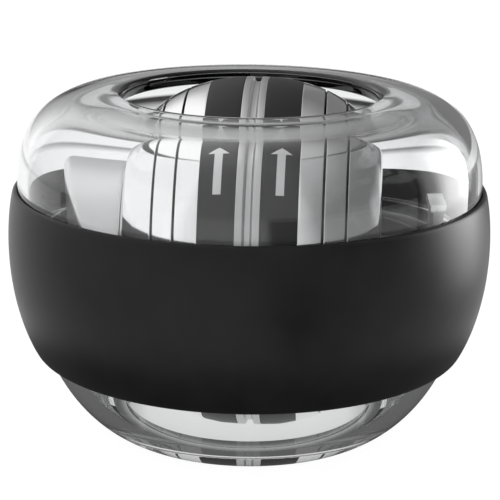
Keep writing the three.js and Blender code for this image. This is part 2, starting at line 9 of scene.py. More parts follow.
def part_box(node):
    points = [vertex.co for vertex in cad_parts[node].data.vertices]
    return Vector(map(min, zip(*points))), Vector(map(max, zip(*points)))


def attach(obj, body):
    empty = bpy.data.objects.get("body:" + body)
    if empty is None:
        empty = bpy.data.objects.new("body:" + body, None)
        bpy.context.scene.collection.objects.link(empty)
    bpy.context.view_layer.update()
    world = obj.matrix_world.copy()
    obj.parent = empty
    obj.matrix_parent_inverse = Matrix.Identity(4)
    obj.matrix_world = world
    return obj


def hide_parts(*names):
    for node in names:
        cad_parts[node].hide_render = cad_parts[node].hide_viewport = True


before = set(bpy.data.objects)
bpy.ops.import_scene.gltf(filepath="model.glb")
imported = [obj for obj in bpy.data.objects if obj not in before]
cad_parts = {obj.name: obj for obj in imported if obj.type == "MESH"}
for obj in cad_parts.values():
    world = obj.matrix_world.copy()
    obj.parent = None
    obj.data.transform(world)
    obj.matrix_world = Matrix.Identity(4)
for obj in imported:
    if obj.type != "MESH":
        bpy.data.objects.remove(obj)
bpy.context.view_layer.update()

# Sizes in metres. Radii of the shell are from the upright middle line, heights from the axle.
axle_low, axle_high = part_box("axle")
axle_height = (axle_low.z + axle_high.z) / 2
shell_wall = 0.0022
shoulder_wall = 0.0016
crown_wall = 0.0021
wall_taper = 0.003
widest_height = 0.009
shoulder_start = 0.0208
shell_radius = 0.0335
upper_fullness = 2.7
lower_centre = 0.014
lower_reach = 0.036
lower_fullness = 2.2
opening_radius = 0.0185
upper_lip_roll = 0.00065
lower_lip_roll = 0.00035
foot_thickness = 0.00355
lip_edge_round = 0.00025
lap_depth = 0.0012
lap_gap = 0.0001
crown_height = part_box("upper_shell")[1].z - axle_height
foot_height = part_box("lower_shell")[0].z - axle_height

# Grip band
band_top = 0.010
band_bottom = -0.0138
band_top_edge = 0.00055
band_bottom_edge = 0.00135
band_swell = 0.00095
band_swell_power = 0.7
band_gap = 0.0001
band_top_round = 0.00045
band_bottom_round = 0.0005
band_inner_round = 0.0001

# Race, ring and its bosses
groove_half_height = 0.0016
race_height = 0.0023
race_width = 0.0014
race_seat_gap = 0.0001
race_round = 0.00025
ring_lift = 0.0002
ring_run_gap = 0.0003
ring_width_share = 0.1337
ring_round = 0.0004
boss_depth = 0.0033
boss_half_width = 0.0035
boss_half_height = 0.003
boss_round = 0.0004
clip_edge_round = 0.00015

# Axle, bushings and spacers
seat_gap = 0.00005
run_gap = 0.00006
loose_gap = 0.0003
tip_radius = 0.00145
tip_end = axle_high.x
tip_round = 0.0005
axle_step = 0.00055
bushing_wall = 0.0008
flange_width = 0.0005
flange_thickness = 0.0006
spacer_wall = 0.0008
end_play = 0.0002
small_round = 0.00012

# Rotor
rotor_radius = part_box("rotor_core")[1].z - axle_height
rotor_left_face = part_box("rotor_left_half")[0].x
rotor_right_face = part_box("rotor_right_half")[1].x
rotor_shift = (rotor_right_face + rotor_left_face) / 2
rotor_half_width = (rotor_right_face - rotor_left_face) / 2
curve_reach_share = 1.335
curve_fullness = 2.3
rotor_edge_round = 0.0008
core_half_width = 0.00165
cord_groove_width = 0.0013
cord_groove_floor = 0.00075
cord_groove_depth = 0.0007
stripe_width = 0.00495
stripe_depth = 0.0027
stripe_round = 0.00008
line_groove_width = 0.00036
line_groove_depth = 0.00035
line_groove_round = 0.00005
inner_line_share = 0.2931
outer_line_share = 0.569
rim_wall = 0.004
side_wall = 0.0032
hub_radius = 0.0075
dish_depth = 0.002
dish_rim = 0.0024
dish_round = 0.0004
recess_depth = 0.0046
recess_radius = 0.0096

# Arrows on the stripes
arrow_count = 3
arrow_middle = math.radians(43.4)
arrow_length = 0.00895
arrow_head_length = 0.00166
arrow_head_width = 0.00285
arrow_shaft_width = 0.0011
arrow_thickness = 0.00005
arrow_lift = 0.00001

# Screws
screw_count = 3
screw_circle = 0.005
screw_radius = 0.0009
screw_head_radius = 0.0016
screw_head_height = 0.0011
screw_head_round = 0.00044
screw_tip_cover = 0.00585
cross_width = 0.0005
cross_reach = 0.0011
cross_depth = 0.0006

# Spring drum
drum_side_gap = 0.0004
drum_over_ring = 0.00025
drum_wall = 0.0012
drum_depth_share = 0.5
drum_outer_round = 0.0009
drum_inner_round = 0.00035
cover_thickness = 0.0009
cover_step = 0.0006
cover_hole_gap = 0.0004
arbor_wall = 0.0019

# Steps of the round pieces
round_steps = 192
small_steps = 64
arc_steps = 40
lap_steps = 12
lip_steps = 10
corner_steps = 4
edge_steps = 3
barrel_steps = 6
shoulder_steps = 8
arrow_steps = 24
drum_end_steps = 14
drum_side_steps = 8
round_profile = 0.5
sharp_angle = math.radians(32)
flat_angle = math.radians(1)
weld = 1e-7

Quarter = namedtuple("Quarter", "centre_radius centre_height reach_out reach_up fullness")


def quarter_point(arc, angle):
    power = 2 / arc.fullness
    radius = arc.centre_radius + arc.reach_out * abs(math.cos(angle)) ** power
    height = arc.centre_height + arc.reach_up * abs(math.sin(angle)) ** power
    return radius, height


def quarter_angle(arc, height):
    rise = min(1, max(0, (height - arc.centre_height) / arc.reach_up))
    return math.asin(rise ** (arc.fullness / 2))


def radius_at(arc, height):
    return quarter_point(arc, quarter_angle(arc, height))[0]


def drawn_in(arc, side_depth, end_depth):
    reach_up = arc.reach_up - math.copysign(end_depth, arc.reach_up)
    return arc._replace(reach_out=arc.reach_out - side_depth, reach_up=reach_up)


def spread(start, end, steps):
    """Evenly spaced values, both ends with them."""
    return [start + (end - start) * step / steps for step in range(steps + 1)]


def quarter_stretch(arc, start, end, steps=arc_steps):
    angles = spread(quarter_angle(arc, start), quarter_angle(arc, end), steps)
    return [quarter_point(arc, angle) for angle in angles]


upper_outer = Quarter(
    shoulder_start,
    widest_height,
    shell_radius - shoulder_start,
    crown_height - widest_height,
    upper_fullness,
)
upper_inner = drawn_in(upper_outer, shoulder_wall, crown_wall)
lower_outer = Quarter(
    lower_centre,
    widest_height,
    shell_radius - lower_centre,
    -lower_reach,
    lower_fullness,
)
lower_inner = drawn_in(lower_outer, shell_wall, shell_wall)

# Sizes that follow from the ones above, as in the solids
wall_at_groove = radius_at(lower_inner, -groove_half_height)
race_inner_radius = wall_at_groove - race_width
ring_half_height = groove_half_height - ring_lift
ring_outer_radius = wall_at_groove - ring_run_gap
ring_inner_radius = ring_outer_radius - wall_at_groove * ring_width_share
boss_outer = math.sqrt((race_inner_radius - loose_gap) ** 2 - boss_half_width ** 2)
boss_inner = boss_outer - boss_depth
axle_radius = tip_radius + axle_step
bushing_bore = tip_radius + run_gap
bushing_radius = bushing_bore + bushing_wall
flange_inner = boss_inner - seat_gap - flange_thickness
recess_floor = rotor_half_width - recess_depth
stripe_start = core_half_width + seat_gap
stripe_end = core_half_width + stripe_width
neck_radius = rotor_radius - stripe_depth
inner_line = stripe_end + (rotor_half_width - stripe_end) * inner_line_share
outer_line = stripe_end + (rotor_half_width - stripe_end) * outer_line_share
screw_seat = rotor_half_width - dish_depth + seat_gap
screw_end = screw_tip_cover - recess_floor + loose_gap
arbor_radius = bushing_bore + arbor_wall
drum_start = rotor_half_width - rotor_shift + drum_side_gap
drum_trim = ring_inner_radius + drum_over_ring
drum_inside = drum_trim - drum_wall
cover_end = drum_start + cover_thickness
drum_floor = cover_end + (drum_inside - cover_end) * drum_depth_share
cavity_radius = math.sqrt(drum_inside ** 2 - drum_floor ** 2)
cover_seat_radius = cavity_radius + cover_step
drum_radius = cover_seat_radius + drum_wall

# Finishes
relief_strength = 0.5
cloud_share = 0.6
cloud_scale_share = 0.04
cloud_range = (0.3, 0.7)
line_stretch = (1.0, 0.02, 0.02)
metal_cloud_scale = 90.0
# Painted shade in the rotor's line grooves: a near-black level over most of their width.
groove_painted_shade_level = 0.004
groove_painted_shade_shares = (0.4, 0.55)

# Clear plastic: faint waves from the mould and dull patches from handling
wave_scale = 60.0
wave_strength = 0.3
wave_depth = 0.00002
smear_scale = 110.0
smear_stretch = (1.0, 1.0, 0.4)
smear_range = (0.45, 0.75)
smear_roughness = 0.045
clear_tint = (0.975, 0.98, 0.985, 1)
smeared_tint = (0.955, 0.96, 0.965, 1)
clear_index = 1.49


def grey(level):
    return (level, level, level, 1)


class Tree:
    """Short ways to add and join the nodes of one material or group."""

    def __init__(self, tree):
        self.tree = tree

    def node(self, kind, **settings):
        node = self.tree.nodes.new(kind)
        for name, value in settings.items():
            setattr(node, name, value)
        return node

    def put(self, target, value):
        if isinstance(value, bpy.types.NodeSocket):
            self.tree.links.new(value, target)
        else:
            target.default_value = value

    def sum(self, operation, *values):
        node = self.node("ShaderNodeMath", operation=operation)
        for socket, value in zip(node.inputs, values):
            self.put(socket, value)
        return node.outputs[0]

    def noise(self, vector, scale, detail=3.0, roughness=0.5):
        node = self.node("ShaderNodeTexNoise")
        self.put(node.inputs["Vector"], vector)
        self.put(node.inputs["Scale"], scale)
        node.inputs["Detail"].default_value = detail
        node.inputs["Roughness"].default_value = roughness
        return node.outputs["Fac"]

    def stretched(self, vector, stretch):
        node = self.node("ShaderNodeVectorMath", operation="MULTIPLY")
        self.put(node.inputs[0], vector)
        self.put(node.inputs[1], stretch)
        return node.outputs[0]

    def split(self, vector):
        node = self.node("ShaderNodeSeparateXYZ")
        self.put(node.inputs[0], vector)
        return node.outputs

    def between(self, value, low, high, new_low, new_high):
        node = self.node("ShaderNodeMapRange")
        for socket, number in zip(node.inputs, (value, low, high, new_low, new_high)):
            self.put(socket, number)
        return node.outputs[0]

    def mixed(self, share, first, second, blend="MIX"):
        node = self.node("ShaderNodeMix", data_type="RGBA", blend_type=blend)
        colours = [socket for socket in node.inputs if socket.type == "RGBA"]
        self.put(node.inputs[0], share)
        self.put(colours[0], first)
        self.put(colours[1], second)
        return [socket for socket in node.outputs if socket.type == "RGBA"][0]

    def product(self, first, second):
        return self.mixed(1.0, first, second, blend="MULTIPLY")

    def bump(self, height, strength, distance):
        node = self.node("ShaderNodeBump")
        self.put(node.inputs["Height"], height)
        self.put(node.inputs["Strength"], strength)
        self.put(node.inputs["Distance"], distance)
        return node.outputs["Normal"]

    def place(self):
        return self.node("ShaderNodeTexCoord").outputs["Object"]

    def ramp(self, value, stops, interpolation="EASE"):
        node = self.node("ShaderNodeValToRGB")
        node.color_ramp.interpolation = interpolation
        elements = node.color_ramp.elements
        while len(elements) < len(stops):
            elements.new(0.5)
        for element, (position, level) in zip(elements, stops):
            element.position = position
            element.color = grey(level)
        self.put(node.inputs[0], value)
        return node.outputs[0]


def finish_group(name):
    """A group that takes the measures of a finish and gives its shade, roughness and normal."""
    group = bpy.data.node_groups.new(name, "ShaderNodeTree")
    taken = {
        "Place": "Vector",
        "Scale": "Float",
        "Depth": "Float",
        "Roughness": "Float",
        "Variation": "Float",
    }
    given = {"Shade": "Float", "Roughness": "Float", "Normal": "Vector"}
    for side, sockets in (("INPUT", taken), ("OUTPUT", given)):
        for label, kind in sockets.items():
            group.interface.new_socket(label, in_out=side, socket_type="NodeSocket" + kind)
    t = Tree(group)
    return t, t.node("NodeGroupInput").outputs, t.node("NodeGroupOutput").inputs


def filled_group(t, source, sink, shade, unevenness, relief):
    """The group with its outcome: unevenness changes the roughness, relief turns the normal."""
    centred = t.sum("SUBTRACT", unevenness, 0.5)
    t.put(sink["Roughness"], t.sum("MULTIPLY_ADD", centred, source["Variation"], source["Roughness"]))
    t.put(sink["Shade"], shade)
    t.put(sink["Normal"], t.bump(relief, relief_strength, source["Depth"]))
    return t.tree


def moulded_grain():
    """Moulded grain: a fine relief with broad clouds in its shade."""
    t, source, sink = finish_group("moulded_grain")
    fine = t.noise(source["Place"], source["Scale"], detail=4.0, roughness=0.6)
    cloud = t.noise(source["Place"], t.sum("MULTIPLY", source["Scale"], cloud_scale_share))
    weighted_cloud = t.sum("MULTIPLY", cloud, cloud_share)
    weighted_fine = t.sum("MULTIPLY", fine, 1 - cloud_share)
    shade = t.between(cloud, *cloud_range, 0.0, 1.0)
    return filled_group(t, source, sink, shade, t.sum("ADD", weighted_cloud, weighted_fine), fine)


def turned_lines():
    """Lines left by turning: fine rings about the axle."""
    t, source, sink = finish_group("turned_lines")
    across = t.stretched(source["Place"], line_stretch)
    lines = t.noise(across, source["Scale"], detail=5.0, roughness=0.65)
    cloud = t.noise(source["Place"], metal_cloud_scale, detail=2.0)
    unevenness = t.sum("MULTIPLY", t.sum("ADD", lines, cloud), 0.5)
    return filled_group(t, source, sink, lines, unevenness, lines)


def new_material(name):
    material = bpy.data.materials.new(name)
    material.use_nodes = True
    material.node_tree.nodes.clear()
    t = Tree(material.node_tree)
    shader = t.node("ShaderNodeBsdfPrincipled")
    output = t.node("ShaderNodeOutputMaterial")
    t.put(output.inputs["Surface"], shader.outputs["BSDF"])
    return material, t, shader.inputs


def finish(
    name, group, dark, light, *, roughness, variation, scale, depth, metallic=0.0, gloss=0.5, painted_shade_grooves=()
):
    """A finish between two close colours. The rotor's line grooves at the places given last get painted
    shade: they are coloured near black.
    """
    material, t, surface = new_material(name)
    node = t.node("ShaderNodeGroup", node_tree=group)
    t.put(node.inputs["Place"], t.place())
    t.put(node.inputs["Scale"], scale)
    t.put(node.inputs["Depth"], depth)
    t.put(node.inputs["Roughness"], roughness)
    t.put(node.inputs["Variation"], variation)
    colour = t.mixed(node.outputs["Shade"], dark, light)
    if painted_shade_grooves:
        from_middle = t.sum("ABSOLUTE", t.sum("SUBTRACT", t.split(t.place())["X"], rotor_shift))
    # Each line groove gets painted shade, near black.
    for place in painted_shade_grooves:
        off_line = t.sum("ABSOLUTE", t.sum("SUBTRACT", from_middle, place))
        full, bare = (line_groove_width * share for share in groove_painted_shade_shares)
        groove_shade_mask = t.between(off_line, full, bare, 1.0, 0.0)
        colour = t.mixed(groove_shade_mask, colour, grey(groove_painted_shade_level))
    t.put(surface["Base Color"], colour)
    t.put(surface["Roughness"], node.outputs["Roughness"])
    t.put(surface["Normal"], node.outputs["Normal"])
    surface["Metallic"].default_value = metallic
    surface["Specular IOR Level"].default_value = gloss
    return material


def clear_plastic():
    material, t, surface = new_material("clear_plastic")
    place = t.place()
    waves = t.noise(place, wave_scale, detail=1.0)
    smears = t.noise(t.stretched(place, smear_stretch), smear_scale, detail=4.0, roughness=0.6)
    t.put(surface["Roughness"], t.between(smears, *smear_range, 0.0, smear_roughness))
    t.put(surface["Normal"], t.bump(waves, wave_strength, wave_depth))
    t.put(surface["Base Color"], t.mixed(smears, clear_tint, smeared_tint))
    surface["IOR"].default_value = clear_index
    surface["Transmission Weight"].default_value = 1.0
    return material


grain = moulded_grain()
turned = turned_lines()
clear = clear_plastic()
rubber = finish(
    "satin_rubber", grain, grey(0.006), grey(0.010),
    roughness=0.37, variation=0.10, scale=5200.0, depth=0.000006, gloss=0.22,
)
black_plastic = finish(
    "black_plastic", grain, grey(0.012), grey(0.02),
    roughness=0.34, variation=0.12, scale=2600.0, depth=0.000006,
)
stripe_black = finish(
    "stripe_lacquer", grain, grey(0.014), grey(0.020),
    roughness=0.42, variation=0.12, scale=2400.0, depth=0.000003, gloss=0.2,
)
silver_plastic = finish(
    "silver_plastic", grain, grey(0.90), grey(0.94),
    roughness=0.28, variation=0.04, scale=1200.0, depth=0.0000008, metallic=0.6,
)
arrow_print = finish(
    "arrow_print", grain, grey(0.84), grey(0.90),
    roughness=0.36, variation=0.10, scale=4200.0, depth=0.000002, metallic=0.3,
)
chrome = finish(
    "rotor_chrome", turned, grey(0.86), grey(0.92),
    roughness=0.09, variation=0.05, scale=1500.0, depth=0.000001, metallic=1.0,
    painted_shade_grooves=(inner_line, outer_line),
)
satin_metal = finish(
    "satin_rotor_core", turned, grey(0.52), grey(0.62),
    roughness=0.30, variation=0.10, scale=2600.0, depth=0.000002, metallic=1.0,
)
steel = finish(
    "bright_steel", turned, grey(0.50), grey(0.62),
    roughness=0.22, variation=0.12, scale=2400.0, depth=0.000003, metallic=1.0,
)
bronze = finish(
    "bushing_bronze", turned, (0.42, 0.26, 0.11, 1), (0.52, 0.34, 0.16, 1),
    roughness=0.32, variation=0.14, scale=2400.0, depth=0.000003, metallic=1.0,
)


# Shapes
def upright(radius, place):
    return Vector((radius, 0, axle_height + place))


def to_right(radius, place):
    return Vector((place, 0, axle_height + radius))


def to_left(radius, place):
    return Vector((-place, 0, axle_height + radius))


def wheel_right(radius, place):
    return to_right(radius, rotor_shift + place)


def wheel_left(radius, place):
    return to_left(radius, place - rotor_shift)


def tidied(bm):
    bmesh.ops.remove_doubles(bm, verts=bm.verts[:], dist=weld)
    bmesh.ops.recalc_face_normals(bm, faces=bm.faces[:])
    return bm


def round_off(bm, parts, size, affect, steps, clamped=False):
    bmesh.ops.bevel(
        bm, geom=parts, offset=size, offset_type="OFFSET", affect=affect, segments=steps,
        profile=round_profile, material=-1, clamp_overlap=clamped,
    )


def spun(outline, turn, closed=True, steps=round_steps):
    """A turned shape. Each row of the outline is a radius, a place and, at a rounded corner, its round."""
    bm = bmesh.new()
    corners = []
    rounds = {}
    for radius, place, *round_size in outline:
        corner = bm.verts.new(turn(radius, place))
        corners.append(corner)
        for size in round_size:
            rounds.setdefault(size, []).append(corner)
    for first, second in zip(corners, corners[1:]):
        bm.edges.new((first, second))
    if closed:
        bm.edges.new((corners[-1], corners[0]))
    for size, rounded in rounds.items():
        round_off(bm, rounded, size, "VERTICES", corner_steps)
    axis = (0, 0, 1) if turn is upright else (1, 0, 0)
    bmesh.ops.spin(
        bm, geom=bm.verts[:] + bm.edges[:], cent=(0, 0, axle_height), axis=axis,
        angle=math.tau, steps=steps, use_merge=True,
    )
    return tidied(bm)


def block(low, high, edge_round=0.0):
    bm = bmesh.new()
    middle = (Vector(low) + Vector(high)) / 2
    size = Vector(high) - Vector(low)
    bmesh.ops.create_cube(bm, size=1.0)
    bmesh.ops.scale(bm, vec=size, verts=bm.verts[:])
    bmesh.ops.translate(bm, vec=middle, verts=bm.verts[:])
    if edge_round:
        round_off(bm, bm.edges[:], edge_round, "EDGES", edge_steps)
    return bm


def plain_object(bm):
    mesh = bpy.data.meshes.new("shape")
    bm.to_mesh(mesh)
    bm.free()
    shape = bpy.data.objects.new("shape", mesh)
    bpy.context.collection.objects.link(shape)
    return shape


def combined(bm, operation, *others):
    """The shape with the other shapes joined to it or taken out of it."""
    base = plain_object(bm)
    other_objects = [plain_object(other) for other in others]
    for other in other_objects:
        modifier = base.modifiers.new("combine", "BOOLEAN")
        modifier.operation = operation
        modifier.solver = "EXACT"
        modifier.object = other
    bpy.context.view_layer.update()
    evaluated = base.evaluated_get(bpy.context.evaluated_depsgraph_get())
    result = bmesh.new()
    result.from_mesh(evaluated.to_mesh())
    evaluated.to_mesh_clear()
    for shape in [base, *other_objects]:
        bpy.data.objects.remove(shape)
    return tidied(result)


def finished(name, bm, material, body, slot, *replaced):
    mesh = bpy.data.meshes.new(name)
    bm.to_mesh(mesh)
    bm.free()
    mesh.shade_smooth()
    mesh.set_sharp_from_angle(angle=sharp_angle)
    mesh.materials.append(material)
    piece = bpy.data.objects.new(name, mesh)
    bpy.context.collection.objects.link(piece)
    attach(piece, body)
    if replaced:
        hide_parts(*replaced)
    return piece


# Clear shell
def lip_roll(roll, flat_height, side_height):
    """From the flat round the opening over to the opening's side."""
    points = []
    for angle in spread(0, math.pi / 2, lip_steps):
        radius = opening_radius + roll * (1 - math.sin(angle))
        height = flat_height + (side_height - flat_height) * (1 - math.cos(angle))
        points.append((radius, height))
    return points


lap_radius = (radius_at(lower_outer, 0) + radius_at(lower_inner, 0)) / 2
upper_shell_outline = [
    *quarter_stretch(lower_outer, -lap_depth, widest_height, lap_steps),
    *quarter_stretch(upper_outer, widest_height, crown_height)[1:],
    *lip_roll(upper_lip_roll, crown_height, crown_height - upper_lip_roll),
    (opening_radius, crown_height - crown_wall, lip_edge_round),
    *quarter_stretch(upper_inner, crown_height - crown_wall, widest_height),
    *quarter_stretch(lower_inner, widest_height - wall_taper, 0, lap_steps),
    (lap_radius, 0),
    (lap_radius, -lap_depth),
]
upper_shell = spun(upper_shell_outline, upright)
finished("clear_upper_shell", upper_shell, clear, "case", "clear_shell", "upper_shell")

foot_top = foot_height + foot_thickness
foot_corner = lip_roll(lower_lip_roll, foot_top, foot_top - lower_lip_roll)
land_corner = lip_roll(lower_lip_roll, foot_height, foot_height + lower_lip_roll)
lower_shell_outline = [
    *quarter_stretch(lower_outer, foot_height, -(lap_depth + lap_gap)),
    (lap_radius - lap_gap, -(lap_depth + lap_gap)),
    (lap_radius - lap_gap, -lap_gap),
    *quarter_stretch(lower_inner, -lap_gap, foot_top),
    *foot_corner,
    *reversed(land_corner),
]
lower_shell = spun(lower_shell_outline, upright)
finished("clear_lower_shell", lower_shell, clear, "case", "clear_shell", "lower_shell")


def race(name, node, low, high):
    outline = [
        (race_inner_radius, low, race_round),
        (radius_at(lower_inner, low) - race_seat_gap, low),
        (radius_at(lower_inner, high) - race_seat_gap, high),
        (race_inner_radius, high, race_round),
    ]
    finished(name, spun(outline, upright), clear, "case", "clear_shell", node)


race("clear_upper_race", "upper_race", groove_half_height, groove_half_height + race_height)
race("clear_lower_race", "lower_race", -(groove_half_height + race_height), -groove_half_height)


# Grip band
def shell_outside_at(height):
    return radius_at(upper_outer if height > widest_height else lower_outer, height)


def band_thickness_at(height):
    share = (height - band_bottom) / (band_top - band_bottom)
    swell = band_swell * max(0, 4 * share * (1 - share)) ** band_swell_power
    return band_bottom_edge + (band_top_edge - band_bottom_edge) * share + swell


def grip_band():
    rising = spread(band_bottom, band_top, arc_steps)
    falling = spread(band_top, band_bottom, arc_steps)
    outside = [(shell_outside_at(height) + band_thickness_at(height), height) for height in rising]
    inside = [(shell_outside_at(height) + band_gap, height) for height in falling]
    outline = [
        (*outside[0], band_bottom_round),
        *outside[1:-1],
        (*outside[-1], band_top_round),
        (*inside[0], band_inner_round),
        *inside[1:-1],
        (*inside[-1], band_inner_round),
    ]
    finished("rubber_grip_band", spun(outline, upright), rubber, "case", "band_rubber", "grip_band")


grip_band()


# Ring with its bosses, and what sits in them
def ring_with_bosses():
    outline = [
        (ring_inner_radius, -ring_half_height, ring_round),
        (ring_outer_radius, -ring_half_height, ring_round),
        (ring_outer_radius, ring_half_height, ring_round),
        (ring_inner_radius, ring_half_height, ring_round),
    ]
    bosses = []
    for start, end in ((boss_inner, boss_outer), (-boss_outer, -boss_inner)):
        low = (start, -boss_half_width, axle_height - boss_half_height)
        high = (end, boss_half_width, axle_height + boss_half_height)
        bosses.append(block(low, high, boss_round))
    whole = combined(spun(outline, upright), "UNION", *bosses)
    bore_start = boss_inner - loose_gap
    bore_end = ring_outer_radius + loose_gap
    bore = [
        (0, bore_start),
        (bushing_radius + seat_gap, bore_start),
        (bushing_radius + seat_gap, bore_end),
        (0, bore_end),
    ]
    bores = [spun(bore, turn, closed=False, steps=small_steps) for turn in (to_right, to_left)]
    ring = combined(whole, "DIFFERENCE", *bores)
    finished("turning_ring", ring, black_plastic, "carrier", "black_plastic", "carrier_ring")


def bushing(name, node, turn):
    outline = [
        (bushing_bore, flange_inner, small_round),
        (bushing_radius + flange_width, flange_inner, small_round),
        (bushing_radius + flange_width, boss_inner - seat_gap, small_round),
        (bushing_radius, boss_inner - seat_gap),
        (bushing_radius, boss_outer, small_round),
        (bushing_bore, boss_outer, small_round),
    ]
    finished(name, spun(outline, turn, steps=small_steps), bronze, "carrier", "bronze", node)


ring_with_bosses()
bushing("bronze_right_bushing", "right_bushing", to_right)
bushing("bronze_left_bushing", "left_bushing", to_left)


def softened(node, edge_round):
    """A copy of a flat-sided solid with its edges rounded."""
    bm = bmesh.new()
    bm.from_mesh(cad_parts[node].data)
    bmesh.ops.remove_doubles(bm, verts=bm.verts[:], dist=weld)
    bmesh.ops.dissolve_limit(bm, angle_limit=flat_angle, verts=bm.verts[:], edges=bm.edges[:])
    sharp = [edge for edge in bm.edges if edge.is_manifold and edge.calc_face_angle() > sharp_angle]
    round_off(bm, sharp, edge_round, "EDGES", edge_steps, clamped=True)
    return tidied(bm)


axle_clip = softened("axle_clip", clip_edge_round)
finished("silver_axle_clip", axle_clip, silver_plastic, "carrier", "silver_plastic", "axle_clip")


# Rotor
def on_barrel(place, depth=0.0):
    reach = rotor_half_width * curve_reach_share
    return rotor_radius * math.sqrt(1 - (place / reach) ** curve_fullness) - depth, place


def barrel_stretch(start, end, steps):
    return [on_barrel(place) for place in spread(start, end, steps)]


def line_groove(place):
    half = line_groove_width / 2
    return [
        (*on_barrel(place - half), line_groove_round),
        (*on_barrel(place, line_groove_depth), line_groove_round),
        (*on_barrel(place + half), line_groove_round),
    ]


def rotor_half(name, node, turn, side):
    bore = axle_radius + seat_gap
    cavity_end = recess_floor - side_wall
    margin = line_groove_width
    outline = [
        (bore, stripe_start),
        (hub_radius, stripe_start),
        (hub_radius, cavity_end),
        (on_barrel(cavity_end)[0] - rim_wall, cavity_end),
        (neck_radius - rim_wall, stripe_start),
        (neck_radius, stripe_start),
        (neck_radius, stripe_end),
        (*on_barrel(stripe_end), stripe_round),
        *barrel_stretch(stripe_end + margin, inner_line - margin, barrel_steps),
        *line_groove(inner_line),
        *barrel_stretch(inner_line + margin, outer_line - margin, barrel_steps),
        *line_groove(outer_line),
        *barrel_stretch(outer_line + margin, rotor_half_width - 2 * rotor_edge_round, shoulder_steps),
        (*on_barrel(rotor_half_width), rotor_edge_round),
        *side,
    ]
    finished(name, spun(outline, turn), chrome, "rotor", "rotor_chrome", node)


dish_edge = on_barrel(rotor_half_width)[0] - rotor_edge_round - dish_rim
dish_floor = rotor_half_width - dish_depth
right_side = [
    (dish_edge, rotor_half_width, dish_round),
    (dish_edge, dish_floor, dish_round),
    (axle_radius + seat_gap, dish_floor),
]
left_side = [
    (recess_radius, rotor_half_width, small_round),
    (recess_radius, recess_floor),
    (axle_radius + seat_gap, recess_floor),
]
rotor_half("chrome_right_half", "rotor_right_half", wheel_right, right_side)
rotor_half("chrome_left_half", "rotor_left_half", wheel_left, left_side)


def rotor_core():
    floor = rotor_radius - cord_groove_depth
    bore = axle_radius + seat_gap
    outline = [
        (bore, -core_half_width),
        (rotor_radius, -core_half_width, stripe_round),
        (rotor_radius, -cord_groove_width / 2, stripe_round),
        (floor, -cord_groove_floor / 2, stripe_round),
        (floor, cord_groove_floor / 2, stripe_round),
        (rotor_radius, cord_groove_width / 2, stripe_round),
        (rotor_radius, core_half_width, stripe_round),
        (bore, core_half_width),
    ]
    finished("satin_core", spun(outline, wheel_right), satin_metal, "rotor", "rotor_chrome", "rotor_core")


def stripe_band(name, node, turn):
    end = stripe_end - seat_gap
    outline = [
        (neck_radius + seat_gap, stripe_start),
        (*on_barrel(stripe_start), stripe_round),
        *barrel_stretch(stripe_start, end, barrel_steps)[1:-1],
        (*on_barrel(end), stripe_round),
        (neck_radius + seat_gap, end),
    ]
    finished(name, spun(outline, turn), stripe_black, "rotor", "stripe_black", node)


rotor_core()
stripe_band("black_right_stripe", "right_stripe_band", wheel_right)
stripe_band("black_left_stripe", "left_stripe_band", wheel_left)


def arrow(name, middle_place, middle_angle):
    """A flat arrow, laid round the barrel and given its thickness."""
    half_length = arrow_length / 2
    neck = half_length - arrow_head_length
    half_head = arrow_head_width / 2
    half_shaft = arrow_shaft_width / 2
    flat = [
        (half_shaft, -half_length),
        (half_shaft, neck),
        (half_head, neck),
        (0, half_length),
        (-half_head, neck),
        (-half_shaft, neck),
        (-half_shaft, -half_length),
    ]
    bm = bmesh.new()
    bm.faces.new([bm.verts.new((across, 0, along)) for across, along in flat])
    for cut in spread(-half_length, half_length, arrow_steps)[1:-1]:
        bmesh.ops.bisect_plane(
            bm, geom=bm.verts[:] + bm.edges[:] + bm.faces[:], plane_co=(0, 0, cut), plane_no=(0, 0, 1)
        )
    upper = bmesh.ops.extrude_face_region(bm, geom=bm.faces[:])["geom"]
    lifted = {vert for vert in upper if isinstance(vert, bmesh.types.BMVert)}
    for vert in bm.verts:
        height = arrow_lift + (arrow_thickness if vert in lifted else 0)
        place = middle_place + vert.co.x
        radius = on_barrel(abs(place))[0] + height
        angle = middle_angle + vert.co.z / rotor_radius
        vert.co = (rotor_shift + place, -radius * math.cos(angle), axle_height + radius * math.sin(angle))
    finished(name, tidied(bm), arrow_print, "rotor", "silver_plastic")


stripe_middle = (stripe_start + stripe_end) / 2
for index in range(arrow_count):
    turn_angle = arrow_middle + math.tau * index / arrow_count
    arrow(f"right_arrow_{index + 1}", stripe_middle, turn_angle)
    arrow(f"left_arrow_{index + 1}", -stripe_middle, turn_angle)


def axle():
    thick_right = rotor_shift + rotor_half_width - end_play
    thick_left = rotor_shift - recess_floor
    outline = [
        (0, -tip_end),
        (tip_radius, -tip_end, tip_round),
        (tip_radius, thick_left),
        (axle_radius, thick_left, small_round),
        (axle_radius, thick_right, small_round),
        (tip_radius, thick_right),
        (tip_radius, tip_end, tip_round),
        (0, tip_end),
    ]
    shape = spun(outline, to_right, closed=False, steps=small_steps)
    finished("steel_axle", shape, steel, "rotor", "steel", "axle")


def spacer(name, node, start, end, turn):
    outline = [
        (bushing_bore, start, small_round),
        (bushing_bore + spacer_wall, start, small_round),
        (bushing_bore + spacer_wall, end, small_round),
        (bushing_bore, end, small_round),
    ]
    shape = spun(outline, turn, steps=small_steps)
    finished(name, shape, black_plastic, "rotor", "black_plastic", node)


axle()
spacer("black_right_spacer", "right_spacer", rotor_right_face, flange_inner - end_play, to_right)
spacer("black_left_spacer", "left_spacer", drum_floor + end_play, flange_inner - end_play, to_left)


